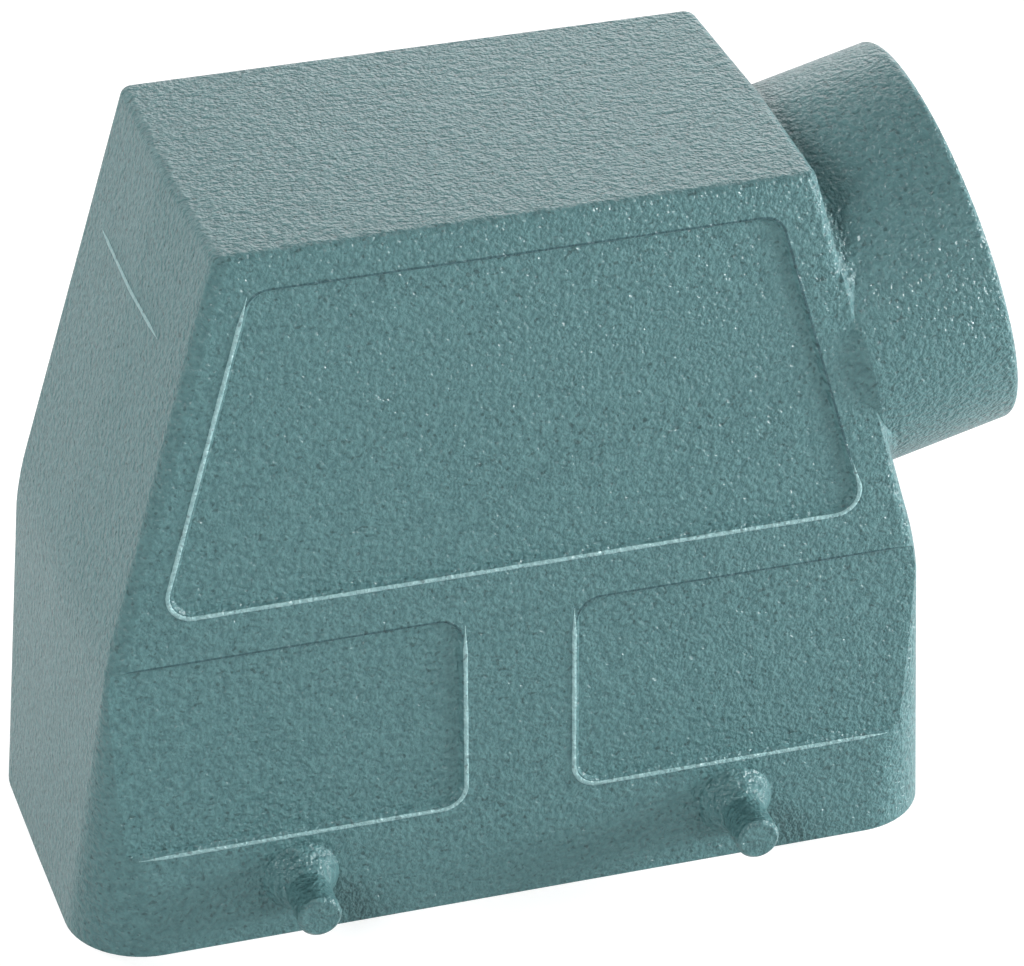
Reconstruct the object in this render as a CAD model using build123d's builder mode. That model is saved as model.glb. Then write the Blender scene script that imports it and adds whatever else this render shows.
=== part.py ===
from build123d import *
from math import atan, cos, radians, sin, tan
import os

# Heavy duty rectangular connector, 16-way: a die-cast hood with a tilted side cable entry and
# four cast locking pegs, and the male insert with screw terminals that it holds.
# Millimetres. The origin is the centre of the hood's open rim. +X points to the cable entry,
# +Y to the back and +Z up, so the hood stands on its rim.

# Hood, outside. Towards the top the cable end is a little fuller than the far end, and both ends
# rise to a faint ridge where the two halves of the mould meet
RIM_LENGTH = 93.5
RIM_WIDTH = 43.0
RIM_CORNER_R = 8.5
HOOD_HEIGHT = 79.0
SHOULDER_Z = 34.5
SHOULDER_DRAW_IN = 3.85
SHOULDER_BEND_R = 40.0
SHOULDER_BEND_STEPS = 5
TOP_END_DRAW_IN = 16.35
TOP_SIDE_DRAW_IN = 2.0
TOP_EDGE_R = 1.0
UPPER_CORNER_R = 1.4
CABLE_END_FULLER = 0.45
RIM_CROWN = 0.1
TOP_CROWN = 0.5

# Hood, inside: walls, the pocket that takes the insert, and the bosses it is screwed to
WALL = 3.5
INNER_CORNER_R = 4.0
SEAT_Z = 15.0
SEAT_CORNER_R = 4.5
POCKET_DRAFT = 0.4
BOSS_R = 4.25
BOSS_LENGTH = 15.0

# Cable spout; its axis meets the slanted end wall this far below the hood's top
SPOUT_BELOW_TOP = 23.2
SPOUT_TILT = 14.5
SPOUT_LENGTH = 15.2
SPOUT_R = 20.9
SPOUT_RIM_R = 0.8
SPOUT_ROOT_R = 2.0
SPOUT_ROOT_SINK = 0.5
SPOUT_ROOT_SIDE_LEAN = 45.0
SPOUT_ROOT_DEPTH = 6.0
SPOUT_ROOT_DRAW_IN = 2.0
THREAD_R = 16.0
THREAD_LENGTH = 12.0
THREAD_LEAD_IN = 0.8
CABLE_BORE_R = 14.6
CABLE_BORE_DEPTH = 16.0

# Cast pegs for the locking levers, two on each long side
PEG_SPACING = 47.2
PEG_Z = 6.7
PEG_R = 2.3
PEG_STANDOUT = 7.4
PEG_CHAMFER = 0.35
PEG_CONE_R = 4.05
PEG_CONE_LENGTH = 2.7

# Shallow fields sunk into the front and back faces
FIELD_DEPTH = 0.4
FIELD_EDGE_LEAN = 40.0
FIELD_CORNER_R = 2.5
UPPER_FIELD_TOP_GAP = 4.0
UPPER_FIELD_FOOT_GAP = 5.4
UPPER_FIELD_END_GAP = 4.5
LOWER_FIELD_Z = 12.2
LOWER_FIELD_APART = 12.2

# Insert: block with two rows of poles, and the shroud round their pins
INSERT_CLEARANCE = 0.5
FIXING_INSET = 3.5
BLOCK_TO_BOSS = 3.5
BLOCK_HEIGHT = 22.0
BLOCK_SIDE_STEP = 1.0
BLOCK_CORNER_R = 1.5
FLANGE_HEIGHT = 4.0
SHROUD_EDGE_Z = 3.0
SHROUD_FLOOR_Z = 14.0
SHROUD_WALL = 1.6
SHROUD_CORNER_R = 3.0
SHROUD_SIDE_STEP = 4.5
SHROUD_END_STEP = 1.5
KEY_WIDTH = 5.0
KEY_HEIGHT = 6.0
POLES_PER_ROW = 8
POLE_END_GAP = 7.7
ROW_SPACING = 11.0

# Contact: a pin with a screw terminal on top, set outward from the pin
PIN_R = 1.25
PIN_TIP_Z = 4.5
PIN_TIP_ROUND = 0.9
STEM_R = 1.7
TERMINAL_GAP = 1.85
TERMINAL_DEPTH = 8.0
TERMINAL_HEIGHT = 9.0
TERMINAL_OFFSET = 2.1
TERMINAL_BELOW_TOP = 2.0
WIRE_HOLE_R = 1.6
WIRE_HOLE_OFFSET = 1.1
WIRE_HOLE_DEPTH = 8.0
SLIP_GAP = 0.1

# Round-headed screws with one straight slot
THREAD_GAP = 0.05
SLOT_WIDTH = 0.8
HEAD_ROUND_SHARE = 0.45
TIP_CHAMFER_SHARE = 0.2
M3_R = 1.5
M3_HEAD_R = 2.2
M3_HEAD_HEIGHT = 1.6
M3_LENGTH = 3.0
M4_R = 2.0
M4_HEAD_R = 3.4
M4_HEAD_HEIGHT = 2.4
FIXING_LENGTH = 12.0
FIXING_HOLE_SPARE = 1.5
EARTH_SCREW_LENGTH = 5.0
SCREW_HOLE_GAP = 0.15

# Folded earth plate at each end, and the square washer under its screw
PLATE_THICKNESS = 1.5
PLATE_CORNER_R = 4.0
PLATE_TONGUE = 1.2
PLATE_GROOVE = 1.4
PLATE_SLOT_GAP = 0.5
BLADE_WIDTH = 8.0
BLADE_TIP_Z = 5.0
BLADE_GAP = 0.3
TAB_WIDTH = 13.0
TAB_HEIGHT = 12.5
FOLD_STRAIGHT = 0.2
EARTH_SCREW_RISE = 7.0
WASHER_SIDE = 8.5
WASHER_CORNER_R = 1.0
WASHER_THICKNESS = 1.0

# Leans of the lower and upper end walls and of the long faces, in radians
LOWER_LEAN = atan(SHOULDER_DRAW_IN / SHOULDER_Z)
UPPER_LEAN = atan((TOP_END_DRAW_IN - SHOULDER_DRAW_IN) / (HOOD_HEIGHT - SHOULDER_Z))
FACE_LEAN = atan(TOP_SIDE_DRAW_IN / HOOD_HEIGHT)
SHOULDER_HALF_LENGTH = RIM_LENGTH / 2 - SHOULDER_DRAW_IN


def half_width(height):
    """Half the hood's outside width at a height."""
    return RIM_WIDTH / 2 - height * tan(FACE_LEAN)


def half_length(height):
    """The far end's distance from the middle at a height, before the shoulder is softened."""
    if height < SHOULDER_Z:
        return RIM_LENGTH / 2 - height * tan(LOWER_LEAN)
    return SHOULDER_HALF_LENGTH - (height - SHOULDER_Z) * tan(UPPER_LEAN)


# Places that several pieces share
POCKET_HALF_LENGTH = RIM_LENGTH / 2 - WALL - POCKET_DRAFT
POCKET_HALF_WIDTH = half_width(SEAT_Z) - WALL
INSERT_LENGTH = 2 * (POCKET_HALF_LENGTH - INSERT_CLEARANCE)
INSERT_WIDTH = 2 * (POCKET_HALF_WIDTH - INSERT_CLEARANCE)
FIXING_X = INSERT_LENGTH - 2 * FIXING_INSET
FIXING_Y = INSERT_WIDTH - 2 * FIXING_INSET
BLOCK_LENGTH = FIXING_X - 2 * (BOSS_R + BLOCK_TO_BOSS)
BLOCK_WIDTH = INSERT_WIDTH - 2 * BLOCK_SIDE_STEP
BLOCK_TOP_Z = SEAT_Z + BLOCK_HEIGHT
SHROUD_LENGTH = BLOCK_LENGTH - 2 * SHROUD_END_STEP
SHROUD_WIDTH = INSERT_WIDTH - 2 * SHROUD_SIDE_STEP
POLE_PITCH = (BLOCK_LENGTH - 2 * POLE_END_GAP) / (POLES_PER_ROW - 1)
TERMINAL_WIDTH = POLE_PITCH - TERMINAL_GAP
TERMINAL_TOP_Z = BLOCK_TOP_Z - TERMINAL_BELOW_TOP
TERMINAL_FLOOR_Z = TERMINAL_TOP_Z - TERMINAL_HEIGHT
TERMINAL_SCREW_Z = TERMINAL_TOP_Z - TERMINAL_HEIGHT / 2
TERMINAL_Y = ROW_SPACING / 2 + TERMINAL_OFFSET
TERMINAL_FACE_Y = TERMINAL_Y + TERMINAL_DEPTH / 2
PLATE_Z = SEAT_Z - PLATE_THICKNESS
BLADE_X = BLOCK_LENGTH / 2 + BLADE_GAP + PLATE_THICKNESS / 2
TAB_X = BLADE_X + 2 * PLATE_THICKNESS + FOLD_STRAIGHT
TAB_FACE_X = TAB_X + PLATE_THICKNESS / 2
EARTH_SCREW_Z = SEAT_Z + EARTH_SCREW_RISE


def shoulder_sections():
    """Height and half length of each step round the soft bend at the shoulder."""
    reach = SHOULDER_BEND_R * tan((UPPER_LEAN - LOWER_LEAN) / 2)
    bend_x = SHOULDER_HALF_LENGTH + reach * sin(LOWER_LEAN) - SHOULDER_BEND_R * cos(LOWER_LEAN)
    bend_z = SHOULDER_Z - reach * cos(LOWER_LEAN) - SHOULDER_BEND_R * sin(LOWER_LEAN)
    sections = []
    for step in range(SHOULDER_BEND_STEPS + 1):
        lean = LOWER_LEAN + (UPPER_LEAN - LOWER_LEAN) * step / SHOULDER_BEND_STEPS
        sections.append(
            (bend_z + SHOULDER_BEND_R * sin(lean), bend_x + SHOULDER_BEND_R * cos(lean))
        )
    return sections


def outer_corner_radius(height):
    """The corners are round at the rim and run out to a small radius at the shoulder."""
    share = min(height / shoulder_sections()[0][0], 1)
    return RIM_CORNER_R + (UPPER_CORNER_R - RIM_CORNER_R) * share


def body_outline(height, reach):
    """Corners of the hood's outline at a height, where the far end stands out by reach."""
    share = height / HOOD_HEIGHT
    width = half_width(height)
    cable_reach = reach + CABLE_END_FULLER * share
    crown = RIM_CROWN + (TOP_CROWN - RIM_CROWN) * share
    return [
        (-reach, -width),
        (cable_reach, -width),
        (cable_reach + crown, 0),
        (cable_reach, width),
        (-reach, width),
        (-reach - crown, 0),
    ]


def face_plane(side):
    """Plane on the front (side -1) or back (side +1) face, with its Y up the face."""
    return Plane(
        origin=(0, side * RIM_WIDTH / 2, 0),
        x_dir=(-side, 0, 0),
        z_dir=(0, side * cos(FACE_LEAN), sin(FACE_LEAN)),
    )


def level_plane(side, y, z=0):
    """Upright plane at a distance y in front (side -1) or behind (side +1), facing outward."""
    return Plane(origin=(0, side * y, z), x_dir=(-side, 0, 0), z_dir=(0, side, 0))


def spout_section_plane():
    """Plane that cuts the spout along its axis: X outward along the axis, Y up across it."""
    root_z = HOOD_HEIGHT - SPOUT_BELOW_TOP
    tilt = radians(SPOUT_TILT)
    return Plane(
        origin=(half_length(root_z) + CABLE_END_FULLER * root_z / HOOD_HEIGHT, 0, root_z),
        x_dir=(cos(tilt), 0, sin(tilt)),
        z_dir=(0, -1, 0),
    )


def pole_places(y):
    """The places of all poles: two rows, at -y and +y."""
    first = -POLE_PITCH * (POLES_PER_ROW - 1) / 2
    return [
        (first + POLE_PITCH * pole, side * y) for side in (-1, 1) for pole in range(POLES_PER_ROW)
    ]


def slotted_screw(head_r, head_height, shank_r, length):
    """Screw along Z: the head stands on the XY plane and the shank hangs below it."""
    with BuildPart() as screw:
        Cylinder(head_r, head_height, align=(Align.CENTER, Align.CENTER, Align.MIN))
        fillet(screw.edges().sort_by(Axis.Z)[-1], head_height * HEAD_ROUND_SHARE)
        with BuildSketch(Plane.XY):
            Circle(shank_r)
        extrude(amount=-length)
        chamfer(screw.edges().sort_by(Axis.Z)[0], shank_r * TIP_CHAMFER_SHARE)
        with BuildSketch(Plane.XY.offset(head_height)):
            Rectangle(3 * head_r, SLOT_WIDTH)
        extrude(amount=-head_height / 2, mode=Mode.SUBTRACT)
    return screw.part


def make_contact(x, side):
    """One contact: round pin and stem below, and above them the block that clamps the wire."""
    row_y = side * ROW_SPACING / 2
    with BuildPart() as contact:
        with BuildSketch(Plane.XY.offset(TERMINAL_FLOOR_Z)):
            with Locations((x, side * TERMINAL_Y)):
                Rectangle(TERMINAL_WIDTH, TERMINAL_DEPTH)
        extrude(amount=TERMINAL_HEIGHT)
        with BuildSketch(Plane.XY.offset(TERMINAL_FLOOR_Z)):
            with Locations((x, row_y)):
                Circle(STEM_R)
        extrude(amount=SHROUD_FLOOR_Z - TERMINAL_FLOOR_Z)
        with BuildSketch(Plane.XY.offset(SHROUD_FLOOR_Z)):
            with Locations((x, row_y)):
                Circle(PIN_R)
        extrude(amount=PIN_TIP_Z - SHROUD_FLOOR_Z)
        fillet(contact.edges().sort_by(Axis.Z)[0], PIN_TIP_ROUND)
        with BuildSketch(Plane.XY.offset(TERMINAL_TOP_Z)):
            with Locations((x, row_y + side * WIRE_HOLE_OFFSET)):
                Circle(WIRE_HOLE_R)
        extrude(amount=-WIRE_HOLE_DEPTH, mode=Mode.SUBTRACT)
        with BuildSketch(level_plane(side, TERMINAL_FACE_Y)):
            with Locations((-side * x, TERMINAL_SCREW_Z)):
                Circle(M3_R)
        to_wire_hole = TERMINAL_FACE_Y - abs(row_y) - WIRE_HOLE_OFFSET - WIRE_HOLE_R / 2
        extrude(amount=-to_wire_hole, mode=Mode.SUBTRACT)
    return contact.part


# Root of the spout: a concave flare that runs out into the end wall. The wall is narrower than
# the flare, so the flare's sides are cut back to the hood's long edges.
spout_section = spout_section_plane()
spout_axis = Axis(spout_section.origin, spout_section.x_dir)
with BuildPart() as root_limits:
    limit_origin = spout_section.origin - spout_section.x_dir * SPOUT_ROOT_SINK
    with BuildSketch(Plane(origin=limit_origin, x_dir=(0, 1, 0), z_dir=spout_section.x_dir)):
        limit_reach = SPOUT_R + 2 * SPOUT_ROOT_R
        low_half = half_width(HOOD_HEIGHT - SPOUT_BELOW_TOP - limit_reach)
        high_half = half_width(HOOD_HEIGHT - SPOUT_BELOW_TOP + limit_reach)
        with BuildLine():
            Polyline(
                (-low_half, -limit_reach),
                (low_half, -limit_reach),
                (high_half, limit_reach),
                (-high_half, limit_reach),
                close=True,
            )
        make_face()
    extrude(amount=SPOUT_ROOT_R, taper=SPOUT_ROOT_SIDE_LEAN)
    extrude(root_limits.faces().sort_by(spout_axis)[0], amount=SPOUT_ROOT_DEPTH)

with BuildPart() as spout_root:
    with BuildSketch(spout_section):
        with BuildLine():
            flare_start = (-SPOUT_ROOT_SINK, SPOUT_R + SPOUT_ROOT_R)
            flare_end = (SPOUT_ROOT_R - SPOUT_ROOT_SINK, SPOUT_R)
            RadiusArc(flare_start, flare_end, -SPOUT_ROOT_R)
            Polyline(
                flare_end,
                (flare_end[0], 0),
                (-SPOUT_ROOT_DEPTH, 0),
                (-SPOUT_ROOT_DEPTH, SPOUT_R - SPOUT_ROOT_DRAW_IN),
                flare_start,
            )
        make_face()
    revolve(axis=spout_axis)
    add(root_limits.part, mode=Mode.INTERSECT)

with BuildPart() as hood_casting:
    # Body: rounded outlines stacked up the height, flat or conical between them
    body_outlines = [(0, RIM_LENGTH / 2)] + shoulder_sections() + [(HOOD_HEIGHT, half_length(HOOD_HEIGHT))]
    for height, reach in body_outlines:
        with BuildSketch(Plane.XY.offset(height)) as outline:
            with BuildLine():
                Polyline(body_outline(height, reach), close=True)
            make_face()
            fillet(outline.vertices().group_by(Axis.Y)[0], outer_corner_radius(height))
            fillet(outline.vertices().group_by(Axis.Y)[-1], outer_corner_radius(height))
    loft(ruled=True)
    fillet(hood_casting.faces().sort_by(Axis.Z)[-1].edges(), TOP_EDGE_R)

    # Sunk fields: one on the upper face and two below the shoulder that run out at the ends
    for side in (-1, 1):
        field_top = HOOD_HEIGHT - UPPER_FIELD_TOP_GAP
        field_foot = SHOULDER_Z + UPPER_FIELD_FOOT_GAP
        top_reach = half_length(field_top) - UPPER_FIELD_END_GAP
        foot_reach = half_length(field_foot) - UPPER_FIELD_END_GAP
        with BuildSketch(face_plane(side)) as upper_field:
            with BuildLine():
                Polyline(
                    (-foot_reach, field_foot),
                    (foot_reach, field_foot),
                    (top_reach, field_top),
                    (-top_reach, field_top),
                    close=True,
                )
            make_face()
            fillet(upper_field.vertices(), FIELD_CORNER_R)
        extrude(amount=-FIELD_DEPTH, taper=FIELD_EDGE_LEAN, mode=Mode.SUBTRACT)
        for end in (-1, 1):
            inner_x = end * LOWER_FIELD_APART / 2
            outer_x = end * (RIM_LENGTH / 2 + 2 * FIELD_DEPTH)
            with BuildSketch(face_plane(side)) as lower_field:
                with BuildLine():
                    Polyline(
                        (inner_x, LOWER_FIELD_Z),
                        (outer_x, LOWER_FIELD_Z),
                        (outer_x, SHOULDER_Z),
                        (inner_x, SHOULDER_Z),
                        close=True,
                    )
                make_face()
                inner_corners = lower_field.vertices().filter_by_position(
                    Axis.X, inner_x - 1, inner_x + 1
                )
                fillet(inner_corners, FIELD_CORNER_R)
            extrude(amount=-FIELD_DEPTH, taper=FIELD_EDGE_LEAN, mode=Mode.SUBTRACT)

    # Spout: a plain barrel with a rounded mouth on its flared root
    with BuildSketch(spout_section) as barrel:
        with BuildLine():
            Polyline(
                (-SPOUT_ROOT_DEPTH, 0),
                (-SPOUT_ROOT_DEPTH, SPOUT_R - SPOUT_ROOT_DRAW_IN),
                (0, SPOUT_R),
                (SPOUT_LENGTH, SPOUT_R),
                (SPOUT_LENGTH, 0),
                close=True,
            )
        make_face()
        fillet(barrel.vertices().sort_by(Axis.X)[-2:].sort_by(Axis.Y)[-1], SPOUT_RIM_R)
    revolve(axis=spout_axis)
    add(spout_root.part)

    # Locking pegs: a cone on the face and a straight pin
    for side in (-1, 1):
        for x in (-PEG_SPACING / 2, PEG_SPACING / 2):
            peg_section = Plane(origin=(x, 0, PEG_Z), x_dir=(0, side, 0), z_dir=(1, 0, 0))
            face_y = half_width(PEG_Z)
            tip_y = RIM_WIDTH / 2 + PEG_STANDOUT
            with BuildSketch(peg_section):
                with BuildLine():
                    Polyline(
                        (face_y - WALL / 2, 0),
                        (face_y - WALL / 2, PEG_CONE_R),
                        (face_y, PEG_CONE_R),
                        (face_y + PEG_CONE_LENGTH, PEG_R),
                        (tip_y - PEG_CHAMFER, PEG_R),
                        (tip_y, PEG_R - PEG_CHAMFER),
                        (tip_y, 0),
                        close=True,
                    )
                make_face()
            revolve(axis=Axis(peg_section.origin, peg_section.x_dir))

    # Wire space, from the seat up
    for height in (SEAT_Z, SHOULDER_Z, HOOD_HEIGHT - WALL):
        inner_length = 2 * (half_length(height) - WALL)
        inner_width = 2 * (half_width(height) - WALL)
        with BuildSketch(Plane.XY.offset(height)):
            RectangleRounded(inner_length, inner_width, INNER_CORNER_R)
    loft(ruled=True, mode=Mode.SUBTRACT)

    # Pocket for the insert, from the rim up to the seat
    with BuildSketch(Plane.XY):
        RectangleRounded(RIM_LENGTH - 2 * WALL, RIM_WIDTH - 2 * WALL, RIM_CORNER_R - WALL)
    with BuildSketch(Plane.XY.offset(SEAT_Z)):
        RectangleRounded(2 * POCKET_HALF_LENGTH, 2 * POCKET_HALF_WIDTH, SEAT_CORNER_R)
    loft(ruled=True, mode=Mode.SUBTRACT)

    # Cable entry: threaded mouth with a lead-in, then a narrower bore into the wire space
    with BuildSketch(spout_section):
        with BuildLine():
            Polyline(
                (-CABLE_BORE_DEPTH, 0),
                (-CABLE_BORE_DEPTH, CABLE_BORE_R),
                (SPOUT_LENGTH - THREAD_LENGTH, CABLE_BORE_R),
                (SPOUT_LENGTH - THREAD_LENGTH, THREAD_R),
                (SPOUT_LENGTH - THREAD_LEAD_IN, THREAD_R),
                (SPOUT_LENGTH, THREAD_R + THREAD_LEAD_IN),
                (SPOUT_LENGTH, 0),
                close=True,
            )
        make_face()
    revolve(axis=spout_axis, mode=Mode.SUBTRACT)

    # Bosses in the corners, tapped from the seat
    with BuildSketch(Plane.XY.offset(SEAT_Z)):
        with GridLocations(FIXING_X, FIXING_Y, 2, 2):
            Circle(BOSS_R)
    extrude(amount=BOSS_LENGTH)
    with BuildSketch(Plane.XY.offset(SEAT_Z)):
        with GridLocations(FIXING_X, FIXING_Y, 2, 2):
            Circle(M4_R)
    extrude(amount=FIXING_LENGTH - PLATE_THICKNESS + FIXING_HOLE_SPARE, mode=Mode.SUBTRACT)

with BuildPart() as insert_body:
    # Flange below the seat and the block of wire chambers above it
    with BuildSketch(Plane.XY.offset(SEAT_Z - FLANGE_HEIGHT)):
        RectangleRounded(BLOCK_LENGTH, INSERT_WIDTH, BLOCK_CORNER_R)
    extrude(amount=FLANGE_HEIGHT)
    with BuildSketch(Plane.XY.offset(SEAT_Z)):
        RectangleRounded(BLOCK_LENGTH, BLOCK_WIDTH, BLOCK_CORNER_R)
    extrude(amount=BLOCK_HEIGHT)

    # Shroud round the pins, with a key notch in the end wall at the cable side
    with BuildSketch(Plane.XY.offset(SHROUD_EDGE_Z)):
        RectangleRounded(SHROUD_LENGTH, SHROUD_WIDTH, SHROUD_CORNER_R)
    extrude(amount=SEAT_Z - SHROUD_EDGE_Z)
    with BuildSketch(Plane.XY.offset(SHROUD_EDGE_Z)):
        RectangleRounded(
            SHROUD_LENGTH - 2 * SHROUD_WALL,
            SHROUD_WIDTH - 2 * SHROUD_WALL,
            SHROUD_CORNER_R - SHROUD_WALL,
        )
    extrude(amount=SHROUD_FLOOR_Z - SHROUD_EDGE_Z, mode=Mode.SUBTRACT)
    with BuildSketch(Plane.XY.offset(SHROUD_EDGE_Z)):
        with Locations((SHROUD_LENGTH / 2, 0)):
            Rectangle(3 * SHROUD_WALL, KEY_WIDTH)
    extrude(amount=KEY_HEIGHT, mode=Mode.SUBTRACT)

    # One chamber for each terminal, open at the top, and a hole for its stem
    with BuildSketch(Plane.XY.offset(BLOCK_TOP_Z)):
        with Locations(*pole_places(TERMINAL_Y)):
            Rectangle(TERMINAL_WIDTH + 2 * SLIP_GAP, TERMINAL_DEPTH + 2 * SLIP_GAP)
    extrude(amount=TERMINAL_FLOOR_Z - BLOCK_TOP_Z, mode=Mode.SUBTRACT)
    with BuildSketch(Plane.XY.offset(SHROUD_FLOOR_Z)):
        with Locations(*pole_places(ROW_SPACING / 2)):
            Circle(STEM_R + THREAD_GAP)
    extrude(amount=TERMINAL_FLOOR_Z - SHROUD_FLOOR_Z, mode=Mode.SUBTRACT)

    # Screwdriver holes in the long sides
    for side in (-1, 1):
        with BuildSketch(level_plane(side, BLOCK_WIDTH / 2)):
            with Locations((0, TERMINAL_SCREW_Z)):
                with GridLocations(POLE_PITCH, POLE_PITCH, POLES_PER_ROW, 1):
                    Circle(M3_HEAD_R + SCREW_HOLE_GAP)
        extrude(amount=TERMINAL_FACE_Y - BLOCK_WIDTH / 2, mode=Mode.SUBTRACT)

    # Grooves in the ends that hold the tongues of the earth plates
    for end in (-1, 1):
        with BuildSketch(Plane.XY.offset(PLATE_Z)):
            with Locations((end * BLOCK_LENGTH / 2, 0)):
                Rectangle(2 * PLATE_GROOVE, 2 * INSERT_WIDTH)
        extrude(amount=PLATE_THICKNESS, mode=Mode.SUBTRACT)

contacts = [make_contact(x, 1 if y > 0 else -1) for x, y in pole_places(1)]

with BuildPart() as terminal_screws:
    m3_screw = slotted_screw(M3_HEAD_R, M3_HEAD_HEIGHT, M3_R - THREAD_GAP, M3_LENGTH)
    for x, y in pole_places(1):
        side = 1 if y > 0 else -1
        with Locations(Plane((x, side * TERMINAL_FACE_Y, TERMINAL_SCREW_Z), z_dir=(0, side, 0))):
            add(m3_screw)

with BuildPart() as earth_plate_cable_end:
    # Foot: two ears under the bosses, joined by a strip whose edge is the tongue
    foot_outer = INSERT_LENGTH / 2
    foot_inner = BLOCK_LENGTH / 2 - PLATE_TONGUE
    with BuildSketch(Plane.XY.offset(PLATE_Z)) as foot:
        with Locations(((foot_inner + foot_outer) / 2, 0)):
            Rectangle(foot_outer - foot_inner, INSERT_WIDTH)
        fillet(foot.vertices().sort_by(Axis.X)[-2:], PLATE_CORNER_R)
        tab_slot = TAB_WIDTH + 2 * PLATE_SLOT_GAP
        with Locations((foot_outer, 0)):
            Rectangle(2 * (foot_outer - TAB_X), tab_slot, mode=Mode.SUBTRACT)
        with Locations((foot_inner, 0)):
            Rectangle(
                2 * (BLADE_X - foot_inner), BLADE_WIDTH + 2 * PLATE_SLOT_GAP, mode=Mode.SUBTRACT
            )
        with Locations((FIXING_X / 2, FIXING_Y / 2), (FIXING_X / 2, -FIXING_Y / 2)):
            Circle(M4_R + SCREW_HOLE_GAP, mode=Mode.SUBTRACT)
    extrude(amount=PLATE_THICKNESS)

    # Tab folded up for the earth screw, and blade folded down for the mating half
    mid_z = PLATE_Z + PLATE_THICKNESS / 2
    join_x = (BLADE_X + TAB_X) / 2
    for width, fold_x, end_z in (
        (TAB_WIDTH, TAB_X, SEAT_Z + TAB_HEIGHT),
        (BLADE_WIDTH, BLADE_X, BLADE_TIP_Z),
    ):
        with BuildSketch(Plane.XZ):
            with BuildLine():
                FilletPolyline(
                    (fold_x, end_z), (fold_x, mid_z), (join_x, mid_z), radius=PLATE_THICKNESS
                )
            trace(line_width=PLATE_THICKNESS)
        extrude(amount=width / 2, both=True)
    with BuildSketch(Plane.YZ.offset(TAB_FACE_X)):
        with Locations((0, EARTH_SCREW_Z)):
            Circle(M4_R)
    extrude(amount=-2 * PLATE_THICKNESS, mode=Mode.SUBTRACT)

with BuildPart() as earth_plate_far_end:
    add(mirror(earth_plate_cable_end.part, about=Plane.YZ, mode=Mode.PRIVATE))

with BuildPart() as earth_washers:
    for end in (-1, 1):
        with BuildSketch(Plane((end * TAB_FACE_X, 0, EARTH_SCREW_Z), z_dir=(end, 0, 0))):
            RectangleRounded(WASHER_SIDE, WASHER_SIDE, WASHER_CORNER_R)
            Circle(M4_R + SCREW_HOLE_GAP, mode=Mode.SUBTRACT)
        extrude(amount=WASHER_THICKNESS)

with BuildPart() as earth_screws:
    earth_screw = slotted_screw(M4_HEAD_R, M4_HEAD_HEIGHT, M4_R - THREAD_GAP, EARTH_SCREW_LENGTH)
    for end in (-1, 1):
        seat_x = TAB_FACE_X + WASHER_THICKNESS
        with Locations(Plane((end * seat_x, 0, EARTH_SCREW_Z), z_dir=(end, 0, 0))):
            add(earth_screw)

with BuildPart() as fixing_screws:
    fixing_screw = slotted_screw(M4_HEAD_R, M4_HEAD_HEIGHT, M4_R - THREAD_GAP, FIXING_LENGTH)
    with Locations(Plane((0, 0, PLATE_Z), z_dir=(0, 0, -1))):
        with GridLocations(FIXING_X, FIXING_Y, 2, 2):
            add(fixing_screw)

# Every piece is labelled with its node's name and written to its own file
os.makedirs("parts", exist_ok=True)
pieces = {
    "hood_casting": hood_casting.part,
    "insert_body": insert_body.part,
    "terminal_screws": terminal_screws.part,
    "earth_plate_cable_end": earth_plate_cable_end.part,
    "earth_plate_far_end": earth_plate_far_end.part,
    "earth_washers": earth_washers.part,
    "earth_screws": earth_screws.part,
    "fixing_screws": fixing_screws.part,
}
for number, contact in enumerate(contacts, start=1):
    pieces[f"contact_{number:02d}"] = contact
for name, piece in pieces.items():
    piece.label = name
    export_step(piece, f"parts/{name}.step")
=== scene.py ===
import math

import bpy
from mathutils import Matrix, Vector


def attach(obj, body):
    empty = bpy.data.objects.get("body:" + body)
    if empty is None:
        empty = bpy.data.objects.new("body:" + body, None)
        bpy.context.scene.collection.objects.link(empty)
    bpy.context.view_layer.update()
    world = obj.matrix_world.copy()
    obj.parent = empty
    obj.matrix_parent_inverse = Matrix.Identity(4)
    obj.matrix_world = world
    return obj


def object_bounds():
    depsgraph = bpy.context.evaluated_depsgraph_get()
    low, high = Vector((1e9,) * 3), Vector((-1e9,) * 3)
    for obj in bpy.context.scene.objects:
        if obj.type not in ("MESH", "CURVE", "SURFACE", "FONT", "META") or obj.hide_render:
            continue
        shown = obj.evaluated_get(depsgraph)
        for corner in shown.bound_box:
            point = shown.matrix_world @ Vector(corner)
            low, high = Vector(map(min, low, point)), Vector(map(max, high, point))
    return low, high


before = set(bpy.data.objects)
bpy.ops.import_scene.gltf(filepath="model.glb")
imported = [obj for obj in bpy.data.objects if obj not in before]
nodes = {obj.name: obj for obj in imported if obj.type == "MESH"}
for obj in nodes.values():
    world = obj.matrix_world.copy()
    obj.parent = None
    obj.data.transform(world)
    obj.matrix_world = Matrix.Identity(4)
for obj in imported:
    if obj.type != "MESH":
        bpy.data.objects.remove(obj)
cad_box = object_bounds()
MM = 0.001

# Camera: a long lens from the front left, a little above, fitted to the outlines of the hood
CAMERA_AZIMUTH = -17.387
CAMERA_ELEVATION = 31.280
CAMERA_ROLL = 0.320
CAMERA_DISTANCE = 543.997 * MM
CAMERA_TARGET = Vector((5.522, 0.0, 36.506)) * MM
FOCAL_PIXELS = 5203.565
IMAGE_WIDTH = 1024
SENSOR_WIDTH = 36.0
CLIP_NEAR = 0.01
CLIP_FAR = 20.0


def direction(azimuth, elevation):
    """Unit vector from the object to a viewer or a lamp. Azimuth 0 is the front, -90 the left."""
    turn, rise = math.radians(azimuth), math.radians(elevation)
    return Vector(
        (math.sin(turn) * math.cos(rise), -math.cos(turn) * math.cos(rise), math.sin(rise))
    )


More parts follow.
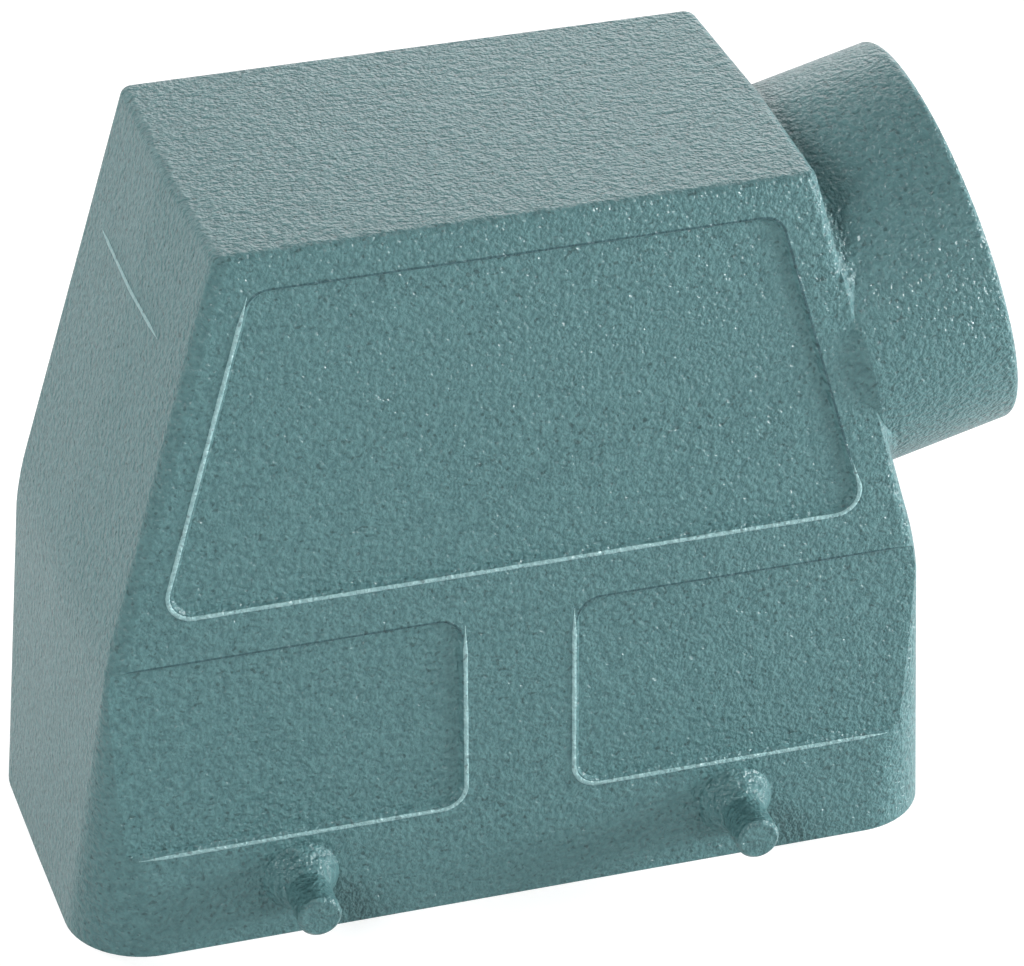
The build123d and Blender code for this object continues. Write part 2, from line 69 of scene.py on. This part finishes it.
def place_camera():
    """The camera looks at its target, turned a little about its own axis."""
    back = direction(CAMERA_AZIMUTH, CAMERA_ELEVATION)
    right = Vector((0, 0, 1)).cross(back).normalized()
    up = back.cross(right)
    roll = math.radians(CAMERA_ROLL)
    rolled_right = right * math.cos(roll) + up * math.sin(roll)
    rolled_up = up * math.cos(roll) - right * math.sin(roll)
    camera = bpy.data.objects.new("catalogue_camera", bpy.data.cameras.new("catalogue_camera"))
    camera.data.sensor_width = SENSOR_WIDTH
    camera.data.lens = FOCAL_PIXELS / IMAGE_WIDTH * SENSOR_WIDTH
    camera.data.clip_start = CLIP_NEAR
    camera.data.clip_end = CLIP_FAR
    camera.matrix_world = Matrix.Translation(CAMERA_TARGET + back * CAMERA_DISTANCE) @ (
        Matrix((rolled_right, rolled_up, back)).transposed().to_4x4()
    )
    bpy.context.scene.collection.objects.link(camera)
    bpy.context.scene.camera = camera


# Materials


def paint(hex_colour):
    """sRGB hex to a linear colour."""
    parts = [int(hex_colour[i : i + 2], 16) / 255 for i in (1, 3, 5)]
    return [*(c / 12.92 if c <= 0.04045 else ((c + 0.055) / 1.055) ** 2.4 for c in parts), 1.0]


def grey(share):
    """A linear grey of this share of white."""
    return (share, share, share, 1.0)


WHITE = grey(1.0)


def new_material(name):
    """A material without nodes, and its tree."""
    material = bpy.data.materials.new(name)
    material.use_nodes = True
    material.node_tree.nodes.clear()
    return material, material.node_tree


def node(tree, kind, settings=None, **inputs):
    """Adds a node. An input is a value or a node's output; underscores stand for spaces.

    i0, i1 and so on name an input by its number.
    """
    made = tree.nodes.new(kind)
    for name, value in (settings or {}).items():
        setattr(made, name, value)
    for name, value in inputs.items():
        socket = made.inputs[int(name[1:]) if name[1:].isdigit() else name.replace("_", " ")]
        if isinstance(value, bpy.types.NodeSocket):
            tree.links.new(value, socket)
        else:
            socket.default_value = value
    return made


def per_metre(size_mm):
    """Scale of a pattern whose grains are this many millimetres wide."""
    return 1 / (size_mm * MM)


def colour_ramp(tree, factor, stops):
    """A colour ramp with a stop at each end of a stretch, each given as (place, colour)."""
    ramp = node(tree, "ShaderNodeValToRGB", i0=factor)
    for element, (place, colour) in zip(ramp.color_ramp.elements, stops):
        element.position, element.color = place, colour
    return ramp.outputs["Color"]


# Hammered powder coat: ripples of about 0.65 mm with a finer grain on them, and small dark pits.
# The finest grain of such a coat is too fine to show, so it is drawn as coarse as 0.32 mm
RIPPLE_MM = 0.65
GRAIN_MM = 0.32
GRAIN_SHARE = 0.5
COAT_RELIEF = 0.4 * MM
PIT_MM = 0.5
PIT_SHADE = grey(0.62)


def hammered_powder_coat(name, hollow, raised):
    """Teal-grey powder coat on die-cast aluminium, sprayed on with a fine hammered grain.

    Under a thin clear gloss the paint is dull. The grain breaks the gloss into small sparkles
    and short ridges; hollows are darker than raised places, and small pits are darker still.
    """
    material, tree = new_material(name)
    at = node(tree, "ShaderNodeTexCoord").outputs["Object"]
    ripple = node(
        tree, "ShaderNodeTexNoise", i0=at, Scale=per_metre(RIPPLE_MM), Detail=1.0, Roughness=0.5
    )
    grain = node(
        tree, "ShaderNodeTexNoise", i0=at, Scale=per_metre(GRAIN_MM), Detail=1.0, Roughness=0.6
    )
    height = node(
        tree,
        "ShaderNodeMath",
        {"operation": "MULTIPLY_ADD"},
        i0=grain.outputs["Fac"],
        i1=GRAIN_SHARE,
        i2=ripple.outputs["Fac"],
    )
    bump = node(
        tree, "ShaderNodeBump", Strength=1.0, Distance=COAT_RELIEF, Height=height.outputs[0]
    )
    cloud = colour_ramp(tree, height.outputs[0], [(0.5, paint(hollow)), (0.95, paint(raised))])
    speck = node(tree, "ShaderNodeTexNoise", i0=at, Scale=per_metre(PIT_MM), Detail=0.0)
    depth = colour_ramp(tree, speck.outputs["Fac"], [(0.22, PIT_SHADE), (0.3, WHITE)])
    pigment = node(
        tree,
        "ShaderNodeMix",
        {"data_type": "RGBA", "blend_type": "MULTIPLY"},
        i0=1.0,
        i6=cloud,
        i7=depth,
    )
    shader = node(
        tree,
        "ShaderNodeBsdfPrincipled",
        Base_Color=pigment.outputs[2],
        Roughness=0.5,
        Coat_Weight=0.36,
        Coat_Roughness=0.13,
        Coat_Normal=bump.outputs[0],
        IOR=1.4,
        Specular_IOR_Level=0.16,
        Normal=bump.outputs[0],
    )
    node(tree, "ShaderNodeOutputMaterial", Surface=shader.outputs[0])
    return material


def moulded_polycarbonate():
    """Light grey glass-filled polycarbonate: dull and slightly mottled, with a moulded grain.

    The real grain is under 0.1 mm; it is drawn at 0.25 mm, so that it shows.
    """
    material, tree = new_material("moulded_polycarbonate")
    at = node(tree, "ShaderNodeTexCoord").outputs["Object"]
    mottle = node(tree, "ShaderNodeTexNoise", i0=at, Scale=per_metre(6.0), Detail=4.0)
    grain = node(tree, "ShaderNodeTexNoise", i0=at, Scale=per_metre(0.25), Detail=2.0)
    shade = colour_ramp(
        tree, mottle.outputs["Fac"], [(0.3, paint("#a3a292")), (0.7, paint("#b1b0a0"))]
    )
    bump = node(
        tree, "ShaderNodeBump", Strength=0.4, Distance=0.03 * MM, Height=grain.outputs["Fac"]
    )
    shader = node(
        tree,
        "ShaderNodeBsdfPrincipled",
        Base_Color=shade,
        Roughness=0.52,
        IOR=1.58,
        Normal=bump.outputs[0],
    )
    node(tree, "ShaderNodeOutputMaterial", Surface=shader.outputs[0])
    return material


def plated_metal(name, bright, dull, roughness, grain_mm):
    """Plated metal: a bright film, a little duller in patches, over a finely drawn surface.

    The real drawing marks are some 0.02 mm apart; they are drawn coarser, so that they show.
    """
    material, tree = new_material(name)
    at = node(tree, "ShaderNodeTexCoord").outputs["Object"]
    patches = node(tree, "ShaderNodeTexNoise", i0=at, Scale=per_metre(3.5), Detail=3.0)
    grain = node(tree, "ShaderNodeTexNoise", i0=at, Scale=per_metre(grain_mm), Detail=2.0)
    film = colour_ramp(tree, patches.outputs["Fac"], [(0.35, paint(dull)), (0.65, paint(bright))])
    rough = node(
        tree,
        "ShaderNodeMapRange",
        Value=patches.outputs["Fac"],
        From_Min=0.3,
        From_Max=0.7,
        To_Min=roughness + 0.08,
        To_Max=roughness - 0.04,
    )
    bump = node(
        tree, "ShaderNodeBump", Strength=0.5, Distance=0.01 * MM, Height=grain.outputs["Fac"]
    )
    shader = node(
        tree,
        "ShaderNodeBsdfPrincipled",
        Base_Color=film,
        Metallic=1.0,
        Roughness=rough.outputs[0],
        Normal=bump.outputs[0],
    )
    node(tree, "ShaderNodeOutputMaterial", Surface=shader.outputs[0])
    return material


def dress(names, material):
    """Gives CAD nodes their finish."""
    for name in names:
        slots = nodes[name].data.materials
        slots.clear()
        slots.append(material)


coat = hammered_powder_coat("hammered_powder_coat", "#45696c", "#567d7f")
# A paler copy of the coat, a painted highlight on the fields' rolled edges and on the mould line
painted_highlight_coat = hammered_powder_coat("painted_highlight_powder_coat", "#7da2a5", "#94b6b8")
# A darker copy of the coat, a painted shade along the fields' upper edges
painted_shade_coat = hammered_powder_coat("painted_shade_powder_coat", "#2f4f54", "#3a5c61")
dress(["hood_casting"], coat)
dress(["insert_body"], moulded_polycarbonate())
# Silver plating is the brightest and a little warm, nickel is yellower and duller, zinc is bluish
dress(
    [f"contact_{number:02d}" for number in range(1, 17)],
    plated_metal("silver_plated_copper", "#d6d1c6", "#b9b19f", 0.24, 0.15),
)
dress(
    ["earth_plate_cable_end", "earth_plate_far_end"],
    plated_metal("nickelled_sheet_steel", "#bdb9b0", "#a39f95", 0.32, 0.12),
)
dress(
    ["terminal_screws", "earth_washers", "earth_screws", "fixing_screws"],
    plated_metal("zinc_plated_steel", "#c3c6c8", "#a2a6a9", 0.3, 0.1),
)

# Pieces too fine for the CAD: the cable entry's thread, and ridges on the hood's skin

# Cable entry: where its axis meets the slanted end wall, its tilt, and its thread, M32 x 1.5
ENTRY_ROOT = Vector((37.234, 0.0, 55.8)) * MM
ENTRY_TILT = math.radians(14.5)
ENTRY_AXIS = Vector((math.cos(ENTRY_TILT), 0.0, math.sin(ENTRY_TILT)))
THREAD_PITCH = 1.5 * MM
THREAD_MAJOR_R = 16.0 * MM
THREAD_MINOR_R = 15.19 * MM
THREAD_HALF_CREST = THREAD_PITCH / 8
THREAD_FLANK = math.radians(30)
THREAD_SINK = 0.05 * MM
THREAD_FROM = 4.0 * MM
THREAD_TO = 13.6 * MM
THREAD_RUN_OUT_TURNS = 0.4
THREAD_END_SHARE = 0.03
STEPS_PER_TURN = 72


def sweep_sections(name, sections):
    """A closed piece through a list of sections, each a ring of the same number of points."""
    count = len(sections[0])
    points = [point for section in sections for point in section]
    faces = [tuple(range(count)), tuple(reversed(range(len(points) - count, len(points))))]
    for start in range(0, len(points) - count, count):
        for k in range(count):
            n = (k + 1) % count
            faces.append((start + n, start + k, start + count + k, start + count + n))
    mesh = bpy.data.meshes.new(name)
    mesh.from_pydata(points, [], faces)
    mesh.update()
    piece = bpy.data.objects.new(name, mesh)
    bpy.context.scene.collection.objects.link(piece)
    return piece


def wind_entry_thread():
    """The thread's ridge, wound up the cable entry and sunk a little into its wall."""
    across = Vector((0.0, 1.0, 0.0))
    up = ENTRY_AXIS.cross(across)
    turns = (THREAD_TO - THREAD_FROM) / THREAD_PITCH
    steps = round(turns * STEPS_PER_TURN)
    sections = []
    for step in range(steps + 1):
        turn = turns * step / steps
        share = min(1.0, turn / THREAD_RUN_OUT_TURNS, (turns - turn) / THREAD_RUN_OUT_TURNS)
        depth = (THREAD_MAJOR_R - THREAD_MINOR_R) * max(share, THREAD_END_SHARE)
        angle = 2 * math.pi * turn
        outward = across * math.cos(angle) + up * math.sin(angle)
        middle = ENTRY_ROOT + ENTRY_AXIS * (THREAD_FROM + THREAD_PITCH * turn)
        half_foot = THREAD_HALF_CREST + (depth + THREAD_SINK) * math.tan(THREAD_FLANK)
        ring = [
            (-half_foot, THREAD_MAJOR_R + THREAD_SINK),
            (-THREAD_HALF_CREST, THREAD_MAJOR_R - depth),
            (THREAD_HALF_CREST, THREAD_MAJOR_R - depth),
            (half_foot, THREAD_MAJOR_R + THREAD_SINK),
        ]
        sections.append([middle + ENTRY_AXIS * along + outward * radius for along, radius in ring])
    return sweep_sections("cable_entry_thread", sections)


# A ridge is half round, with its foot sunk a little into the skin. Towards both ends it tapers to
# a share of its size. Waves, as (share, radians per millimetre), make it a little uneven
RIDGE_SIDES = 8
RIDGE_RING = [
    (math.cos(math.pi * k / RIDGE_SIDES), math.sin(math.pi * k / RIDGE_SIDES))
    for k in range(RIDGE_SIDES + 1)
]
RIDGE_SINK = 0.01 * MM
RIDGE_TAPER = 3.0 * MM
RIDGE_END_SHARE = 0.15
RIDGE_EVEN_SHARE = 0.93
RIDGE_WAVES = [(0.05, 0.7), (0.02, 1.9)]
RIDGE_STEP = 0.6
CORNER_STEPS = 8
# Rays that find the skin start this far from the hood's middle plane, or outside its end
FACE_RAY_START = 60 * MM
END_RAY_GAP = 10 * MM

# Line left by the mould across the far end wall; places in millimetres
LINE_Z = 66.0
LINE_Y = (-10.4, 13.6)
LINE_HALF_WIDTH = 0.26 * MM
LINE_HEIGHT = 0.07 * MM

# Rolled edges of the sunk fields, 0.3 mm outside each field, coloured pale as a painted highlight:
# places on the face as (x, z) in millimetres
EDGE_HALF_WIDTH = 0.26 * MM
EDGE_HEIGHT = 0.14 * MM
FIELD_CORNER_R = 2.6
UPPER_FIELD_PATH = [(-27.4, 74.6), (-37.27, 39.6), (37.27, 39.6), (35.6, 45.5)]
LOWER_FIELD_PATH = [(5.8, 33.6), (5.8, 11.9), (40.5, 11.9)]

# Shade lines: thin ridges coloured dark as a painted shade along the fields' upper edges, where
# the step faces down
SHADE_LINE_HALF_WIDTH = 0.14 * MM
SHADE_LINE_HEIGHT = 0.02 * MM
UPPER_SHADE_LINE_PATH = [(-28.2, 71.5), (-27.1, 75.05), (27.1, 75.05), (35.9, 43.8)]
LOWER_SHADE_LINE_PATH = [(6.05, 30.5), (6.05, 34.55), (42.4, 34.55)]


def skin_point(depsgraph, start, way):
    """Where a ray from outside meets the hood, and the outward normal there."""
    hood = nodes["hood_casting"].evaluated_get(depsgraph)
    to_hood = hood.matrix_world.inverted()
    found, at, normal, _ = hood.ray_cast(to_hood @ start, (to_hood.to_3x3() @ way).normalized())
    if not found:
        raise RuntimeError("the hood was not met")
    return hood.matrix_world @ at, (hood.matrix_world.to_3x3() @ normal).normalized()


def round_corners(corners, radius, step):
    """Evenly spaced points along a path of straight runs, with its inner corners rounded."""
    path = [Vector(corners[0])]
    for before, corner, after in zip(corners, corners[1:], corners[2:]):
        corner = Vector(corner)
        back, on = (Vector(before) - corner).normalized(), (Vector(after) - corner).normalized()
        half = back.angle(on) / 2
        middle = corner + (back + on).normalized() * (radius / math.sin(half))
        first = corner + back * (radius / math.tan(half)) - middle
        last = corner + on * (radius / math.tan(half)) - middle
        for k in range(CORNER_STEPS + 1):
            path.append(middle + first.slerp(last, k / CORNER_STEPS).normalized() * radius)
    path.append(Vector(corners[-1]))
    points = []
    for a, b in zip(path, path[1:]):
        count = max(1, round((b - a).length / step))
        points += [a.lerp(b, k / count) for k in range(count)]
    return points + [path[-1]]


def raise_ridge(name, spots, half_width, height):
    """A half-round ridge along spots on the skin, each a point with its outward normal."""
    run = [0.0]
    for (a, _), (b, _) in zip(spots, spots[1:]):
        run.append(run[-1] + (b - a).length)
    sections = []
    for k, (at, normal) in enumerate(spots):
        along = (spots[min(k + 1, len(spots) - 1)][0] - spots[max(k - 1, 0)][0]).normalized()
        across = normal.cross(along).normalized()
        size = min(1.0, run[k] / RIDGE_TAPER, (run[-1] - run[k]) / RIDGE_TAPER)
        size = max(RIDGE_END_SHARE, size) * (
            RIDGE_EVEN_SHARE
            + sum(share * math.sin(run[k] / MM * rate) for share, rate in RIDGE_WAVES)
        )
        section = []
        for side, rise in RIDGE_RING:
            lift = normal * (rise * height * size - RIDGE_SINK)
            section.append(at + across * (side * half_width * size) + lift)
        sections.append(section)
    return sweep_sections(name, sections)


def raise_mould_line(depsgraph):
    """The line that the mould left across the far end wall."""
    steps = round((LINE_Y[1] - LINE_Y[0]) / RIDGE_STEP)
    spots = []
    for k in range(steps + 1):
        y = LINE_Y[0] + (LINE_Y[1] - LINE_Y[0]) * k / steps
        start = Vector((cad_box[0][0] - END_RAY_GAP, y * MM, LINE_Z * MM))
        spots.append(skin_point(depsgraph, start, Vector((1.0, 0.0, 0.0))))
    return raise_ridge("mould_line", spots, LINE_HALF_WIDTH, LINE_HEIGHT)


def ridges_on_faces(depsgraph, kind, paths, half_width, height):
    """The same ridges on the front and the back face, one for each named path."""
    pieces = []
    for side, face in ((-1, "front"), (1, "back")):
        for field, corners in paths.items():
            spots = []
            for x, z in round_corners(corners, FIELD_CORNER_R, RIDGE_STEP):
                start = Vector((x * MM, side * FACE_RAY_START, z * MM))
                spots.append(skin_point(depsgraph, start, Vector((0.0, -side, 0.0))))
            pieces.append(raise_ridge(f"{kind}_{face}_{field}", spots, half_width, height))
    return pieces


def both_ends(path):
    """A path at the cable end and its mirror image at the far end."""
    return {"lower_cable_end": path, "lower_far_end": [(-x, z) for x, z in path]}


def add_fine_pieces():
    """All pieces that are too fine for the CAD, with their finish, on the hood."""
    depsgraph = bpy.context.evaluated_depsgraph_get()
    edges = {"upper": UPPER_FIELD_PATH, **both_ends(LOWER_FIELD_PATH)}
    shade_line_paths = {"upper": UPPER_SHADE_LINE_PATH, **both_ends(LOWER_SHADE_LINE_PATH)}
    rolled = ridges_on_faces(depsgraph, "field_edge", edges, EDGE_HALF_WIDTH, EDGE_HEIGHT)
    shade_lines = ridges_on_faces(depsgraph, "field_shade_line", shade_line_paths, SHADE_LINE_HALF_WIDTH, SHADE_LINE_HEIGHT)
    # The mould line and the fields' rolled edges take the pale coat, a painted highlight
    dressed = [(wind_entry_thread(), coat), (raise_mould_line(depsgraph), painted_highlight_coat)]
    dressed += [(piece, painted_highlight_coat) for piece in rolled]
    # The shade lines take the dark coat, a painted shade
    dressed += [(piece, painted_shade_coat) for piece in shade_lines]
    for piece, material in dressed:
        piece.data.materials.append(material)
        for face in piece.data.polygons:
            face.use_smooth = len(face.vertices) == 4
        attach(piece, "root")


add_fine_pieces()

# Stage: pale floor and backdrop, white to the camera, with the object's shadow kept on the floor


def seen_directly(tree):
    """1 for camera, glossy and transmission rays, otherwise 0."""
    path = node(tree, "ShaderNodeLightPath")
    either = node(
        tree,
        "ShaderNodeMath",
        {"operation": "MAXIMUM"},
        i0=path.outputs["Is Camera Ray"],
        i1=path.outputs["Is Glossy Ray"],
    )
    either = node(
        tree,
        "ShaderNodeMath",
        {"operation": "MAXIMUM"},
        i0=either.outputs[0],
        i1=path.outputs["Is Transmission Ray"],
    )
    return either.outputs[0]


# Paper floor: its reach in metres, its own glow near the object and far from it, how much lamp
# light it shows, and how much it throws back at the object
FLOOR_REACH = 6.0
FLOOR_Z = -0.02 * MM
FLOOR_NEAR = 0.25
FLOOR_FAR = 1.2
FLOOR_NEAR_GLOW = 0.72
FLOOR_FAR_GLOW = 1.0
FLOOR_SHADE = grey(0.45)
FLOOR_BOUNCE = grey(0.7)


def lay_floor():
    """A sheet of white paper that takes the object's shadow."""
    corners = [(-FLOOR_REACH, -FLOOR_REACH), (FLOOR_REACH, -FLOOR_REACH)]
    corners += [(-x, -y) for x, y in corners]
    mesh = bpy.data.meshes.new("paper_floor")
    mesh.from_pydata([(x, y, FLOOR_Z) for x, y in corners], [], [(0, 1, 2, 3)])
    floor = bpy.data.objects.new("paper_floor", mesh)
    bpy.context.scene.collection.objects.link(floor)
    material, tree = new_material("white_paper")
    # Far from the object, where less lamp light falls, the paper shows whiter by itself
    at = node(tree, "ShaderNodeTexCoord").outputs["Object"]
    far = node(tree, "ShaderNodeVectorMath", {"operation": "LENGTH"}, i0=at)
    glow = node(
        tree,
        "ShaderNodeMapRange",
        Value=far.outputs["Value"],
        From_Min=FLOOR_NEAR,
        From_Max=FLOOR_FAR,
        To_Min=FLOOR_NEAR_GLOW,
        To_Max=FLOOR_FAR_GLOW,
    )
    shown = node(
        tree,
        "ShaderNodeAddShader",
        i0=node(tree, "ShaderNodeBsdfDiffuse", Color=FLOOR_SHADE).outputs[0],
        i1=node(tree, "ShaderNodeEmission", Color=WHITE, Strength=glow.outputs[0]).outputs[0],
    )
    lit = node(tree, "ShaderNodeBsdfDiffuse", Color=FLOOR_BOUNCE)
    choice = node(
        tree,
        "ShaderNodeMixShader",
        i0=seen_directly(tree),
        i1=lit.outputs[0],
        i2=shown.outputs[0],
    )
    # Seen from below the floor is clear, so that the open rim can be looked into
    sides = node(
        tree,
        "ShaderNodeMixShader",
        i0=node(tree, "ShaderNodeNewGeometry").outputs["Backfacing"],
        i1=choice.outputs[0],
        i2=node(tree, "ShaderNodeBsdfTransparent").outputs[0],
    )
    node(tree, "ShaderNodeOutputMaterial", Surface=sides.outputs[0])
    mesh.materials.append(material)


WORLD_FILL = 0.1


def hang_backdrop():
    """White to the eye and in reflections; only a weak fill light on the object."""
    world = bpy.data.worlds.new("white_backdrop")
    world.use_nodes = True
    tree = world.node_tree
    tree.nodes.clear()
    white = node(tree, "ShaderNodeBackground", Color=WHITE, Strength=1.0)
    fill = node(tree, "ShaderNodeBackground", Color=WHITE, Strength=WORLD_FILL)
    choice = node(
        tree,
        "ShaderNodeMixShader",
        i0=seen_directly(tree),
        i1=fill.outputs[0],
        i2=white.outputs[0],
    )
    node(tree, "ShaderNodeOutputWorld", Surface=choice.outputs[0])
    bpy.context.scene.world = world


# Studio lamps: azimuth, elevation, distance, side (metres) and power (watts)
LAMPS = {
    "key_box": (-44, 28, 0.9, 0.3, 4.8),
    "front_box": (22, 12, 0.9, 0.2, 1.3),
    "right_box": (78, 7, 0.5, 0.16, 4.0),
    "rear_box": (155, 12, 0.9, 0.5, 2.2),
    "rear_fill": (125, 50, 0.9, 0.3, 1.8),
    "back_box": (-148, 36, 0.9, 0.3, 3.4),
}


def hang_lamps():
    """Square lamps that face the camera's target."""
    for name, (azimuth, elevation, distance, side, power) in LAMPS.items():
        lamp = bpy.data.objects.new(name, bpy.data.lights.new(name, "AREA"))
        lamp.data.shape = "SQUARE"
        lamp.data.size = side
        lamp.data.energy = power
        away = direction(azimuth, elevation)
        lamp.matrix_world = Matrix.Translation(CAMERA_TARGET + away * distance) @ (
            away.to_track_quat("Z", "Y").to_matrix().to_4x4()
        )
        lamp.visible_camera = False
        bpy.context.scene.collection.objects.link(lamp)


place_camera()
lay_floor()
hang_backdrop()
hang_lamps()
bpy.context.scene.view_settings.view_transform = "Standard"
